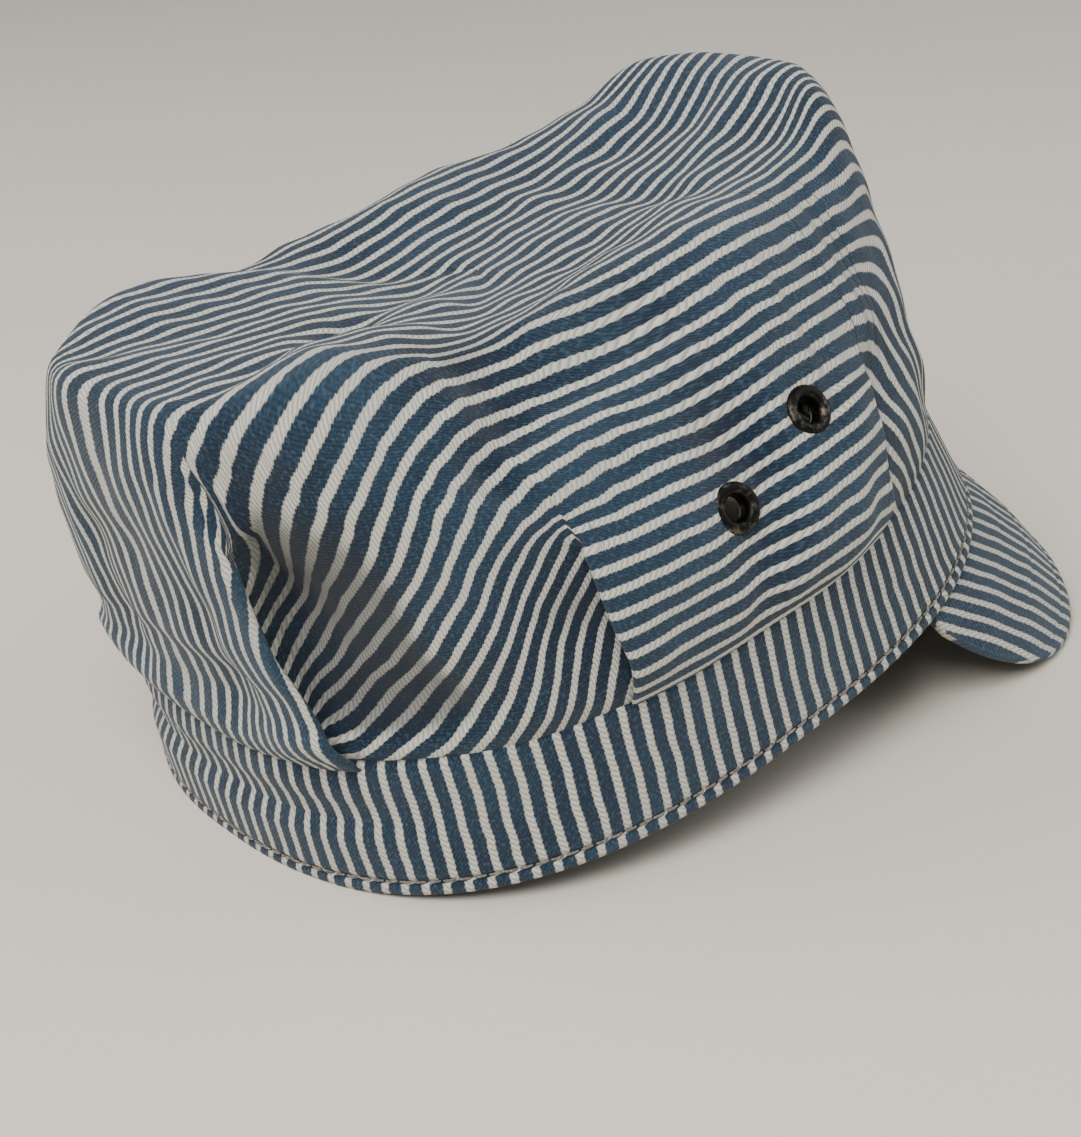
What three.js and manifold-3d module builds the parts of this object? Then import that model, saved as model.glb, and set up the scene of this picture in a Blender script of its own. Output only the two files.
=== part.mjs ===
// Railroad engineer cap of striped denim: a pleated one-piece crown on an upright band, a short
// steep visor and four ventilation eyelets. Millimetres, +Z up, visor toward -Y, wearer's left +X.
// The cloth is worked out in the cap's own frame, whose hem lies level, and every point is then
// laid down as the cap rests by itself: on the back of its hem and on the two corners of the visor.

import * as THREE from 'three';
import { mergeVertices } from 'three/addons/utils/BufferGeometryUtils.js';
import Module from 'manifold-3d';

const wasm = await Module();
wasm.setup();

// Head band: an oval that is squarer than an ellipse, narrower toward the forehead at the hem
// and more so at the crown's seam
const bandFront = 96;
const bandBack = 96;
const bandHalfWidth = 80;
const bandHeight = 29;
const bandWall = 2.4;
const bandSquareness = 2.47;
const foreheadTaper = 0.065;
const seamTaper = 0.12;
const frontLean = 8;
const backLean = 3;
const frontArch = 5.5;
const hemFlat = 1.2;
const bandFoldDepth = 1.3;

// Crown: height of its rim over the band, its reach, and how far the top is dished
const crownRise = 71;
const crownHalfWidth = 83.5;
const crownFront = 91;
const crownBack = 98;
const crownWall = 2;
const rimSway = 12;
const pleatDepth = 6;
const creaseDepth = 4;

// Visor: stiff board between two layers of cloth, sewn under the front of the hem
const visorWidth = 42;
const visorWall = 2.6;
const visorEnd = 69;
const visorDroop = 56;
const visorSideDroop = 63;
const visorFan = 38;
const visorCrown = 1.8;

// Eyelets: rolled brass rings set through the side of the crown
const eyeletRadius = 5.2;
const eyeletBore = 2.6;
const eyeletTube = 3.4;
const eyeletLip = 1.1;
const eyeletBack = 4.6;
const eyeletBackThickness = 0.5;
const eyeletSink = 0.4;
const eyelets = [
  { name: 'front', angle: 86, rise: 0.51 },
  { name: 'back', angle: 93.5, rise: 0.4 },
];

// Clearance that sewn or clinched pieces keep to each other, and the mesh steps
const gap = 0.3;
const columnStep = 4.6;
const visorColumns = 34;
const visorRows = 6;
const eyeletSides = 14;

// Sections of the crown from its seam to the middle of the top. rise is a share of crownRise,
// side, front and back are shares of crownHalfWidth, crownFront and crownBack.
const crownSections = [
  { rise: 0.0, side: 0.965, front: 1.0, back: 0.95, square: 2.45 },
  { rise: 0.07, side: 0.99, front: 0.985, back: 0.955, square: 2.45 },
  { rise: 0.16, side: 1.0, front: 0.97, back: 0.95, square: 2.45 },
  { rise: 0.28, side: 0.985, front: 0.955, back: 0.95, square: 2.5 },
  { rise: 0.41, side: 0.945, front: 0.945, back: 0.955, square: 2.5 },
  { rise: 0.55, side: 0.88, front: 0.94, back: 0.955, square: 2.6 },
  { rise: 0.69, side: 0.79, front: 0.94, back: 0.96, square: 2.7 },
  { rise: 0.82, side: 0.7, front: 0.945, back: 0.965, square: 2.8 },
  { rise: 0.93, side: 0.61, front: 0.94, back: 0.955, square: 2.9 },
  { rise: 0.99, side: 0.54, front: 0.91, back: 0.925, square: 2.9 },
  { rise: 1.0, side: 0.47, front: 0.84, back: 0.87, square: 2.8 },
  { rise: 0.985, side: 0.39, front: 0.71, back: 0.75, square: 2.6 },
  { rise: 0.96, side: 0.3, front: 0.54, back: 0.58, square: 2.4 },
  { rise: 0.94, side: 0.2, front: 0.35, back: 0.38, square: 2.3 },
  { rise: 0.93, side: 0.1, front: 0.17, back: 0.18, square: 2.1 },
];
const rimSection = 10;

// The crown follows the band's taper and lean at the seam, and has lost them by taperTop
const seamSetback = 1 - (bandFront - frontLean) / crownFront;
const taperTop = 0.9;

// How the top sways from the front to the back, as shares of rimSway: a saddle that is high at
// the front and over the back and low between them. place runs from -1 at the front to 1.
const topHeights = [
  { place: -1.0, lift: 0.25 },
  { place: -0.84, lift: 0.15 },
  { place: -0.68, lift: -0.4 },
  { place: -0.5, lift: -0.55 },
  { place: -0.25, lift: -0.45 },
  { place: 0.02, lift: -0.45 },
  { place: 0.27, lift: -0.15 },
  { place: 0.52, lift: 0.3 },
  { place: 0.75, lift: 0.4 },
  { place: 1.0, lift: 0.45 },
];

// Pleats: a folded edge that stands over the cloth beside it. foot and top are the angles of the
// edge at the seam and at its upper end, end is the level of that end, lap is +1 where the cloth
// toward the back lies on top and -1 where the cloth toward the front does. over and under are
// shares of pleatDepth, overSpan and underSpan the angles in which the step dies away.
const pleats = [
  { foot: 75, top: 66, end: 0.6, lap: 1, over: 0.28, under: 0.16, overSpan: 12, underSpan: 9 },
  { foot: 110.5, top: 109, end: 0.62, lap: -1, over: 0.4, under: 0.42, overSpan: 16, underSpan: 15 },
  { foot: 150, top: 157, end: 1.02, lap: 1, over: 0.7, under: 1.2, overSpan: 16, underSpan: 24 },
];

// Soft dents and ridges of the crown: angle and rise are the middle, turn and reach the half
// spans, and depth is a share of creaseDepth, outward where positive.
const dents = [
  { angle: 91.5, rise: 0.34, turn: 4, reach: 0.3, depth: -0.35 },
  { angle: 84, rise: 0.12, turn: 7, reach: 0.14, depth: 0.4 },
  { angle: 92, rise: 0.8, turn: 14, reach: 0.2, depth: 0.6 },
  { angle: 106, rise: 0.97, turn: 9, reach: 0.2, depth: -1.1 },
  { angle: 128, rise: 0.62, turn: 9, reach: 0.4, depth: 0.55 },
  { angle: 24, rise: 0.35, turn: 7, reach: 0.3, depth: -0.5 },
  { angle: 8, rise: 0.75, turn: 10, reach: 0.3, depth: 0.3 },
  { angle: 172, rise: 0.06, turn: 26, reach: 0.05, depth: 0.5 },
  { angle: 172, rise: 0.16, turn: 26, reach: 0.05, depth: -0.4 },
];

// Creases pressed into the band behind the back pleats, as shares of bandHeight and bandFoldDepth
const bandSections = [
  { rise: 0.0, fold: 0.0 },
  { rise: 0.12, fold: 0.1 },
  { rise: 0.42, fold: 0.7 },
  { rise: 0.58, fold: -1.0 },
  { rise: 0.8, fold: 0.5 },
  { rise: 1.0, fold: 0.0 },
];

const rad = THREE.MathUtils.degToRad;
const bell = (x) => Math.exp(-x * x);
const ease = (x) => THREE.MathUtils.smoothstep(x, 0, 1);

// Signed power, which makes an oval squarer than an ellipse
const squared = (value, square) => Math.sign(value) * Math.abs(value) ** (2 / square);

// Value of a column of a table at x, smooth between its rows
function between(rows, key, column, x) {
  const last = rows.length - 1;
  if (x <= rows[0][key]) return rows[0][column];
  if (x >= rows[last][key]) return rows[last][column];
  const i = rows.findIndex((row) => row[key] > x) - 1;
  const t = (x - rows[i][key]) / (rows[i + 1][key] - rows[i][key]);
  return THREE.MathUtils.lerp(rows[i][column], rows[i + 1][column], ease(t));
}

// Height of the hem at an angle from the front: it arches over the visor
function hemHeight(angle) {
  const turn = Math.abs(angle) / visorEnd;
  return turn < 1 ? frontArch * Math.cos((turn * Math.PI) / 2) ** 2 : 0;
}

// Point of the band's outer face: rise is 0 at the hem and 1 at the crown's seam
function bandPoint(angle, rise) {
  const c = Math.cos(rad(angle));
  const s = Math.sin(rad(angle));
  const lean = c > 0 ? frontLean : backLean;
  const reach = (c > 0 ? bandFront : bandBack) - lean * rise;
  const low = hemHeight(angle);
  const taper = foreheadTaper * c * (1 - rise) + seamTaper * Math.max(c, 0) * rise;
  return new THREE.Vector3(
    bandHalfWidth * squared(s, bandSquareness) * (1 - taper),
    -reach * squared(c, bandSquareness),
    low + (bandHeight - low) * rise,
  );
}

// Lift of the crown at a place between front and back: full at the rim and over the top
function sway(y, rise, section) {
  const place = y < 0 ? y / crownFront : y / crownBack;
  const weight = section < rimSection ? ease(rise * 1.15 - 0.15) : 1;
  return rimSway * weight * between(topHeights, 'place', 'lift', place);
}

// Point of the crown before its pleats: section counts up from the seam and may be a fraction
function crownPoint(angle, section) {
  const i = Math.min(Math.floor(section), crownSections.length - 2);
  const t = section - i;
  const row = (key) => THREE.MathUtils.lerp(crownSections[i][key], crownSections[i + 1][key], t);
  const c = Math.cos(rad(angle));
  const s = Math.sin(rad(angle));
  const seam = section < rimSection ? 1 - ease(row('rise') / taperTop) : 0;
  const front = crownFront * row('front') * (1 - seamSetback * seam);
  const y = -(c > 0 ? front : crownBack * row('back')) * squared(c, row('square'));
  const width = crownHalfWidth * row('side') * (1 - seamTaper * Math.max(c, 0) * seam);
  return new THREE.Vector3(
    width * squared(s, row('square')),
    y,
    bandHeight + gap + crownRise * row('rise') + sway(y, row('rise'), section),
  );
}

// Outward direction of the smooth crown, level at the seam so that the cloth stays above the band
function crownNormal(angle, section) {
  const step = 0.5;
  const low = Math.max(section - 0.25, 0);
  const high = Math.min(section + 0.25, crownSections.length - 1);
  const round = crownPoint(angle + step, section).sub(crownPoint(angle - step, section));
  const up = crownPoint(angle, high).sub(crownPoint(angle, low));
  const out = round.cross(up);
  if (section === 0) out.z = 0;
  return out.normalize();
}

// Where a pleat's edge has moved to at a section, and how much of it is left there
const pleatTravel = (pleat, rise) => (pleat.top - pleat.foot) * Math.min(rise / pleat.end, 1);
const pleatLeft = (pleat, rise) => 1 - ease((rise / pleat.end - 0.45) / 0.55);

// The mesh column at an angle leans with the pleats beside it, so each edge keeps its column
function leaning(angle, rise) {
  const side = Math.sign(angle) || 1;
  const turn = Math.abs(angle);
  const shift = pleats.reduce(
    (sum, pleat) => sum + pleatTravel(pleat, rise) * bell((turn - pleat.foot) / 15),
    0,
  );
  return side * Math.min(turn + shift, 180);
}

// How far the cloth stands off the smooth crown at a column and rise
function folds(column, rise, section) {
  const turn = Math.abs(column);
  const onTop = section > rimSection;
  const height = onTop ? 1 + (section - rimSection) * 0.06 : rise;
  let off = 0;
  for (const pleat of pleats) {
    const past = (turn - pleat.foot) * pleat.lap;
    const left = onTop ? 0 : pleatLeft(pleat, rise) * (0.12 + 0.88 * ease(rise * 7));
    const over = pleat.over * bell(past / pleat.overSpan);
    const under = -pleat.under * bell(past / pleat.underSpan);
    off += pleatDepth * left * (past > 0 ? over : under);
  }
  for (const dent of dents) {
    const place = bell((turn - dent.angle) / dent.turn) * bell((height - dent.rise) / dent.reach);
    off += creaseDepth * dent.depth * place;
  }
  return off;
}

// Columns of the crown from the front round the left side to the back, two at each pleat's edge
function halfColumns() {
  const edges = [0, ...pleats.flatMap((pleat) => [pleat.foot - 0.7, pleat.foot + 0.7]), 180];
  const columns = [];
  for (let i = 0; i < edges.length - 1; i += 1) {
    const count = Math.max(1, Math.round((edges[i + 1] - edges[i]) / columnStep));
    for (let k = 0; k < count; k += 1) {
      columns.push(THREE.MathUtils.lerp(edges[i], edges[i + 1], k / count));
    }
  }
  return columns;
}
const leftColumns = halfColumns();
const columns = [...leftColumns, 180, ...leftColumns.slice(1).reverse().map((angle) => -angle)];

// A closed ring of quads between two rings of points with the same count
function bridge(faces, low, high, count) {
  for (let i = 0; i < count; i += 1) {
    const j = (i + 1) % count;
    faces.push(low + i, low + j, high + j, low + i, high + j, high + i);
  }
}

// Mesh from points laid down as the cap rests, and triangles
function clothGeometry(points, faces) {
  const geometry = new THREE.BufferGeometry();
  geometry.setAttribute('position', new THREE.Float32BufferAttribute(points.flatMap((p) => p.toArray()), 3));
  geometry.setIndex(faces);
  return geometry;
}

// Visor: rulings fan out from the hem and droop, more at the sides than at the front
function visorPoint(u, s) {
  const angle = visorEnd * u;
  const root = bandPoint(angle, 0);
  const width = visorWidth * (1 - Math.abs(u) ** 7) ** 0.83;
  const droop = rad(THREE.MathUtils.lerp(visorDroop, visorSideDroop, u * u));
  const fan = rad(visorFan) * u;
  const out = width * s * Math.cos(droop);
  const inset = 1 - (bandWall / 2) / root.length();
  return new THREE.Vector3(
    root.x * inset + Math.sin(fan) * out,
    root.y * inset - Math.cos(fan) * out,
    root.z - gap - width * s * Math.sin(droop) + visorCrown * Math.sin(Math.PI * s) * (width / visorWidth),
  );
}

function visorNormal(u, s) {
  const du = visorPoint(u + 0.004, s).sub(visorPoint(u - 0.004, s));
  const ds = visorPoint(u, s + 0.02).sub(visorPoint(u, s - 0.02));
  return ds.cross(du).normalize();
}

function visorSurfaces() {
  const end = 0.985;
  const top = [];
  const bottom = [];
  for (let i = 0; i <= visorColumns; i += 1) {
    const u = end * Math.sin((Math.PI / 2) * ((2 * i) / visorColumns - 1));
    for (let k = 0; k <= visorRows; k += 1) {
      const point = visorPoint(u, k / visorRows);
      top.push(point);
      bottom.push(point.clone().addScaledVector(visorNormal(u, k / visorRows), -visorWall));
    }
  }
  return { top, bottom };
}
const visorFaces = visorSurfaces();

// Tilt at which the visor's corners and the pressed back of the hem reach the surface together
function tiltTo(point) {
  const ahead = bandBack - point.y;
  const reach = Math.hypot(ahead, point.z);
  return Math.asin(hemFlat / reach) - Math.atan2(point.z, ahead);
}
const restTilt = Math.max(...[...visorFaces.top, ...visorFaces.bottom].map(tiltTo));

// A point of the cap as it rests: turned up about the back of the hem, cloth below it pressed flat
function settle(point) {
  const ahead = bandBack - point.y;
  const lifted = point.z * Math.cos(restTilt) + ahead * Math.sin(restTilt) - hemFlat;
  return new THREE.Vector3(
    point.x,
    bandBack - (ahead * Math.cos(restTilt) - point.z * Math.sin(restTilt)),
    Math.max(lifted, 0),
  );
}
const settleDirection = (v) => v.clone().applyAxisAngle(new THREE.Vector3(1, 0, 0), -restTilt);

// Band: an outer and an inner wall, closed by the hem below and the seam edge above
function bandGeometry() {
  const points = [];
  const faces = [];
  const rings = [
    ...bandSections.map((row) => ({ ...row, inset: 0 })),
    ...[...bandSections].reverse().map((row) => ({ ...row, inset: bandWall })),
  ];
  for (const ring of rings) {
    for (const column of columns) {
      const outward = bandPoint(column + 0.5, ring.rise).sub(bandPoint(column - 0.5, ring.rise));
      outward.cross(new THREE.Vector3(0, 0, 1)).normalize();
      const behind = ease((Math.abs(column) - 135) / 25);
      const off = bandFoldDepth * ring.fold * behind - ring.inset;
      points.push(settle(bandPoint(column, ring.rise).addScaledVector(outward, off)));
    }
  }
  const count = columns.length;
  rings.forEach((ring, i) => bridge(faces, i * count, ((i + 1) % rings.length) * count, count));
  return clothGeometry(points, faces);
}

// Crown: outer wall and top, inner wall and top, joined at the seam edge
function crownGeometry() {
  const points = [];
  const faces = [];
  const count = columns.length;
  const layers = crownSections.length;
  const clothAt = (column, section, inner) => {
    const { rise } = crownSections[section];
    const angle = leaning(column, section > rimSection ? 1 : rise);
    const near = [column - 4, column, column + 4].map((place) => folds(place, rise, section));
    const off = inner ? Math.min(...near) - crownWall : near[1];
    return crownPoint(angle, section).addScaledVector(crownNormal(angle, section), off);
  };
  for (const inner of [false, true]) {
    for (let section = 0; section < layers; section += 1) {
      for (const column of columns) points.push(settle(clothAt(column, section, inner)));
    }
  }
  const last = crownSections[layers - 1];
  const middle = bandHeight + gap + crownRise * last.rise + sway(0, last.rise, layers - 1);
  points.push(settle(new THREE.Vector3(0, 0, middle)));
  points.push(settle(new THREE.Vector3(0, 0, middle - crownWall)));
  const innerStart = layers * count;
  for (let section = 0; section < layers - 1; section += 1) {
    bridge(faces, section * count, (section + 1) * count, count);
    bridge(faces, innerStart + (section + 1) * count, innerStart + section * count, count);
  }
  bridge(faces, innerStart, 0, count);
  const outerTop = (layers - 1) * count;
  const innerTop = innerStart + outerTop;
  const pole = 2 * layers * count;
  for (let i = 0; i < count; i += 1) {
    const j = (i + 1) % count;
    faces.push(outerTop + i, outerTop + j, pole, innerTop + j, innerTop + i, pole + 1);
  }
  return clothGeometry(points, faces);
}

// Visor: top and underside, closed round its four edges
function visorGeometry() {
  const { top, bottom } = visorFaces;
  const points = [...top, ...bottom].map(settle);
  const across = visorRows + 1;
  const under = top.length;
  const faces = [];
  const quad = (a, b, c, d) => faces.push(a, b, c, a, c, d);
  for (let i = 0; i < visorColumns; i += 1) {
    for (let k = 0; k < visorRows; k += 1) {
      const a = i * across + k;
      quad(a, a + 1, a + 1 + across, a + across);
      quad(under + a, under + a + across, under + a + 1 + across, under + a + 1);
    }
    const inner = i * across;
    const outer = inner + visorRows;
    quad(inner, inner + across, under + inner + across, under + inner);
    quad(outer, under + outer, under + outer + across, outer + across);
  }
  const last = visorColumns * across;
  for (let k = 0; k < visorRows; k += 1) {
    quad(k, under + k, under + k + 1, k + 1);
    quad(last + k, last + k + 1, under + last + k + 1, under + last + k);
  }
  return clothGeometry(points, faces);
}

// Place and direction of an eyelet on the settled crown
function eyeletSeat(angle, rise) {
  const above = crownSections.findIndex((row) => row.rise > rise);
  const low = crownSections[above - 1].rise;
  const section = above - 1 + (rise - low) / (crownSections[above].rise - low);
  const column = leaning(angle, rise);
  const normal = crownNormal(column, section);
  const off = folds(angle, rise, section) - eyeletSink;
  const point = crownPoint(column, section).addScaledVector(normal, off);
  return { point: settle(point), normal: settleDirection(normal) };
}

// A solid for cutting or joining, from a closed geometry
function solidOf(geometry) {
  const bare = geometry.clone();
  bare.deleteAttribute('normal');
  bare.deleteAttribute('uv');
  const merged = mergeVertices(bare, 1e-5);
  return new wasm.Manifold(new wasm.Mesh({
    numProp: 3,
    vertProperties: new Float32Array(merged.attributes.position.array),
    triVerts: new Uint32Array(merged.index.array),
  }));
}

function geometryOf(solid) {
  const { vertProperties, triVerts } = solid.getMesh();
  const geometry = new THREE.BufferGeometry();
  geometry.setAttribute('position', new THREE.Float32BufferAttribute(vertProperties, 3));
  geometry.setIndex([...triVerts]);
  return geometry;
}

// Turns a shape made along +Y so that it points along a direction, and moves it to a point
function placed(geometry, point, direction) {
  const turn = new THREE.Quaternion().setFromUnitVectors(new THREE.Vector3(0, 1, 0), direction);
  return geometry.applyQuaternion(turn).translate(point.x, point.y, point.z);
}

// Room for an eyelet: a hole for its tube and a flat seat on each face of the cloth
function eyeletRoom(seat) {
  const grip = crownWall - 2 * eyeletSink;
  const hole = new THREE.CylinderGeometry(eyeletTube + gap, eyeletTube + gap, 30, eyeletSides);
  const outside = new THREE.CylinderGeometry(eyeletRadius + gap, eyeletRadius + gap, 8, eyeletSides);
  const inside = new THREE.CylinderGeometry(eyeletBack + gap, eyeletBack + gap, 8, eyeletSides);
  outside.translate(0, 4, 0);
  inside.translate(0, -grip - 4, 0);
  return [hole, outside, inside].map((shape) => solidOf(placed(shape, seat.point, seat.normal)));
}

// Eyelet: domed lip outside, tube through the cloth, clinched flange inside
function eyeletGeometry(seat) {
  const grip = crownWall - 2 * eyeletSink + gap;
  const profile = [
    [eyeletBore, 0.35 * eyeletLip],
    [eyeletBore + 0.6, 0.9 * eyeletLip],
    [(eyeletBore + eyeletRadius) / 2, eyeletLip],
    [eyeletRadius - 0.5, 0.75 * eyeletLip],
    [eyeletRadius, 0.2 * eyeletLip],
    [eyeletRadius - 0.3, 0],
    [eyeletTube, 0],
    [eyeletTube, -grip - gap],
    [eyeletBack, -grip - gap],
    [eyeletBack - 0.4, -grip - gap - eyeletBackThickness],
    [eyeletBore, -grip - gap - eyeletBackThickness],
    [eyeletBore, 0.35 * eyeletLip],
  ].map(([r, y]) => new THREE.Vector2(r, y + gap));
  const ring = new THREE.LatheGeometry(profile.reverse(), eyeletSides);
  return placed(ring, seat.point, seat.normal);
}

const denim = new THREE.MeshStandardMaterial({ color: 0x5a7287, roughness: 0.92, metalness: 0 });
const bandDenim = new THREE.MeshStandardMaterial({ color: 0x546c81, roughness: 0.92, metalness: 0 });
const visorDenim = new THREE.MeshStandardMaterial({ color: 0x617789, roughness: 0.9, metalness: 0 });
const darkBrass = new THREE.MeshStandardMaterial({ color: 0x2f2b22, roughness: 0.4, metalness: 0.9 });

const cap = new THREE.Group();
function add(name, geometry, material) {
  const mesh = new THREE.Mesh(geometry, material);
  mesh.name = name;
  cap.add(mesh);
}

const seats = [['right', -1], ['left', 1]].flatMap(([side, sign]) => eyelets.map((eyelet) => ({
  name: `eyelet_${side}_${eyelet.name}`,
  ...eyeletSeat(sign * eyelet.angle, eyelet.rise),
})));
const crown = seats.flatMap(eyeletRoom).reduce(
  (solid, room) => solid.subtract(room),
  solidOf(crownGeometry()),
);
add('crown', geometryOf(crown), denim);
add('band', bandGeometry(), bandDenim);
add('visor', visorGeometry(), visorDenim);
for (const seat of seats) add(seat.name, eyeletGeometry(seat), darkBrass.clone());

// The origin is the middle of the cap's footprint, on the surface that it rests on
const box = new THREE.Box3().setFromObject(cap);
cap.position.y = -(box.min.y + box.max.y) / 2;

export default cap;
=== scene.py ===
"""Railroad engineer cap of hickory striped denim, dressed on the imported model.

The cloth is worked out in millimetres in the cap's own frame, whose hem lies level: x to the
wearer's left, y to the back, z up. settle() then lays every point down as the cap rests by itself.
Angles run from 0 at the front to 180 at the back, positive round the wearer's left.
"""
import bpy
import numpy as np
from mathutils import Matrix, Vector


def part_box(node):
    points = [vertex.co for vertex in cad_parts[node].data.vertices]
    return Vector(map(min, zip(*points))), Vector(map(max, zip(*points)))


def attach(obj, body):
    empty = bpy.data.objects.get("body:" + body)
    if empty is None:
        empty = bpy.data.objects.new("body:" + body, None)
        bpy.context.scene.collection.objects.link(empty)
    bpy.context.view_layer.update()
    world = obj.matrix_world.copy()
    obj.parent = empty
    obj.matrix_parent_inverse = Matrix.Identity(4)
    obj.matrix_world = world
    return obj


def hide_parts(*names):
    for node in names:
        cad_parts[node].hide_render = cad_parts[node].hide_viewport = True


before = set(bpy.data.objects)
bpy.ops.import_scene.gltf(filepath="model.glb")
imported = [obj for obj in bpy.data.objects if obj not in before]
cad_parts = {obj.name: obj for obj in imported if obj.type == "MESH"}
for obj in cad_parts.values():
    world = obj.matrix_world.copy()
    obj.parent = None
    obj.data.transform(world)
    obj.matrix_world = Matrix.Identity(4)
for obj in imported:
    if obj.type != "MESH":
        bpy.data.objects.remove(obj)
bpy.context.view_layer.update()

METRES = 0.001

# Band, crown and visor: the driving sizes of the model
BAND_REACH, BAND_HALF_WIDTH, BAND_HEIGHT, BAND_WALL = 96.0, 80.0, 29.0, 2.4
BAND_SQUARENESS, FOREHEAD_TAPER, SEAM_TAPER, FRONT_LEAN, BACK_LEAN = 2.47, 0.065, 0.12, 8.0, 3.0
TAPER_TOP = 0.9
FRONT_ARCH, HEM_FLAT, BAND_FOLD_DEPTH, SEAM_GAP = 5.5, 1.2, 1.3, 0.3
CROWN_RISE, CROWN_HALF_WIDTH, CROWN_FRONT, CROWN_BACK = 71.0, 83.5, 91.0, 98.0
CROWN_WALL, RIM_SWAY, PLEAT_DEPTH, CREASE_DEPTH = 2.0, 12.0, 6.0, 4.0
VISOR_WIDTH, VISOR_WALL, VISOR_END, VISOR_CROWN = 42.0, 2.6, 69.0, 1.8
VISOR_DROOP, VISOR_SIDE_DROOP, VISOR_FAN = 56.0, 63.0, 38.0

# Eyelets: angle and level of each, and the sizes of the clinched ring
EYELETS = {"front": (86.0, 0.51), "back": (93.5, 0.4)}
EYELET_RADIUS, EYELET_BORE, EYELET_LIP, EYELET_BACK, EYELET_SINK = 5.2, 2.6, 1.1, 4.6, 0.4

# Cloth: the pitch of its stripes and half the width of the cream in each
STRIPE_PITCH, STRIPE_HALF, STRIPE_BLUR = 4.5, 0.84, 0.13
# Pitch of the strands in the cream and of the twill in the indigo
STRAND_PITCH, TWILL_PITCH = 1.25, 0.85

# Crown's sections from the seam to the middle of the top: rise, side, front, back, squareness
CROWN_SECTIONS = np.array([
    (0.0, 0.965, 1.0, 0.95, 2.45),
    (0.07, 0.99, 0.985, 0.955, 2.45),
    (0.16, 1.0, 0.97, 0.95, 2.45),
    (0.28, 0.985, 0.955, 0.95, 2.5),
    (0.41, 0.945, 0.945, 0.955, 2.5),
    (0.55, 0.88, 0.94, 0.955, 2.6),
    (0.69, 0.79, 0.94, 0.96, 2.7),
    (0.82, 0.7, 0.945, 0.965, 2.8),
    (0.93, 0.61, 0.94, 0.955, 2.9),
    (0.99, 0.54, 0.91, 0.925, 2.9),
    (1.0, 0.47, 0.84, 0.87, 2.8),
    (0.985, 0.39, 0.71, 0.75, 2.6),
    (0.96, 0.3, 0.54, 0.58, 2.4),
    (0.94, 0.2, 0.35, 0.38, 2.3),
    (0.93, 0.1, 0.17, 0.18, 2.1),
    (0.928, 0.0, 0.0, 0.0, 2.0),
])
RIM_SECTION = 10
LAST_SECTION = len(CROWN_SECTIONS) - 1

# Sway of the top from the front to the back: place, lift as a share of RIM_SWAY
TOP_HEIGHTS = np.array([
    (-1.0, 0.25), (-0.84, 0.15), (-0.68, -0.4), (-0.5, -0.55), (-0.25, -0.45),
    (0.02, -0.45), (0.27, -0.15), (0.52, 0.3), (0.75, 0.4), (1.0, 0.45),
])

# Pleats: angle at the foot and at the top, level of the top, side of the cloth that lies over,
# step over and under as shares of PLEAT_DEPTH, their spans, how far the cloth is tucked under, and
# the share of its height that the pleat holds before it dies away. bow is a sag of the edge toward
# the back: its level, span and degrees. sharp are the levels between which the edge softens, and
# mouth is how the cloth under the edge gapes: its level, span and depth as a share of PLEAT_DEPTH.
PLEATS = [
    dict(foot=75.0, top=66.0, end=0.6, lap=1, over=0.28, under=0.16, spans=(12.0, 9.0), tuck=3.0,
         hold=0.55, bow=(0.25, 0.15, 1.0), sharp=(0.45, 0.6), mouth=(0.2, 0.2, 0.0)),
    dict(foot=110.5, top=109.0, end=0.62, lap=-1, over=0.4, under=0.42, spans=(16.0, 15.0), tuck=4.0,
         hold=0.68, bow=(0.3, 0.2, 1.0), sharp=(0.46, 0.62), mouth=(0.3, 0.15, 0.25)),
    dict(foot=150.0, top=157.0, end=1.02, lap=1, over=0.7, under=1.2, spans=(16.0, 24.0), tuck=8.0,
         hold=0.5, bow=(0.38, 0.28, 4.6), sharp=(0.6, 0.84), mouth=(0.4, 0.17, 1.0)),
]
# Share of a pleat that the seam holds and the rate at which it grows above, then in degrees: how far
# a pleat carries the cloth along, how far its mouth reaches, and its edge at its sharpest and softest
SEAM_SHARE, SEAM_RATE = 0.25, 7.0
LEAN_SPAN, GAPE_SPAN, EDGE_SHARP, EDGE_SOFT = 15.0, 10.0, 0.02, 18.0

# Soft dents: angle, level, half spans in angle and level, depth as a share of CREASE_DEPTH. Over
# the rim each section counts as TOP_STEP of level.
TOP_STEP = 0.06
DENTS = [
    (91.5, 0.34, 4, 0.3, -0.35), (84, 0.12, 7, 0.14, 0.4), (92, 0.8, 14, 0.2, 0.6),
    (106, 0.97, 9, 0.2, -1.1), (128, 0.62, 9, 0.4, 0.55), (24, 0.35, 7, 0.3, -0.5),
    (8, 0.75, 10, 0.3, 0.3), (172, 0.06, 26, 0.05, 0.5), (172, 0.16, 26, 0.05, -0.4),
]

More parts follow.
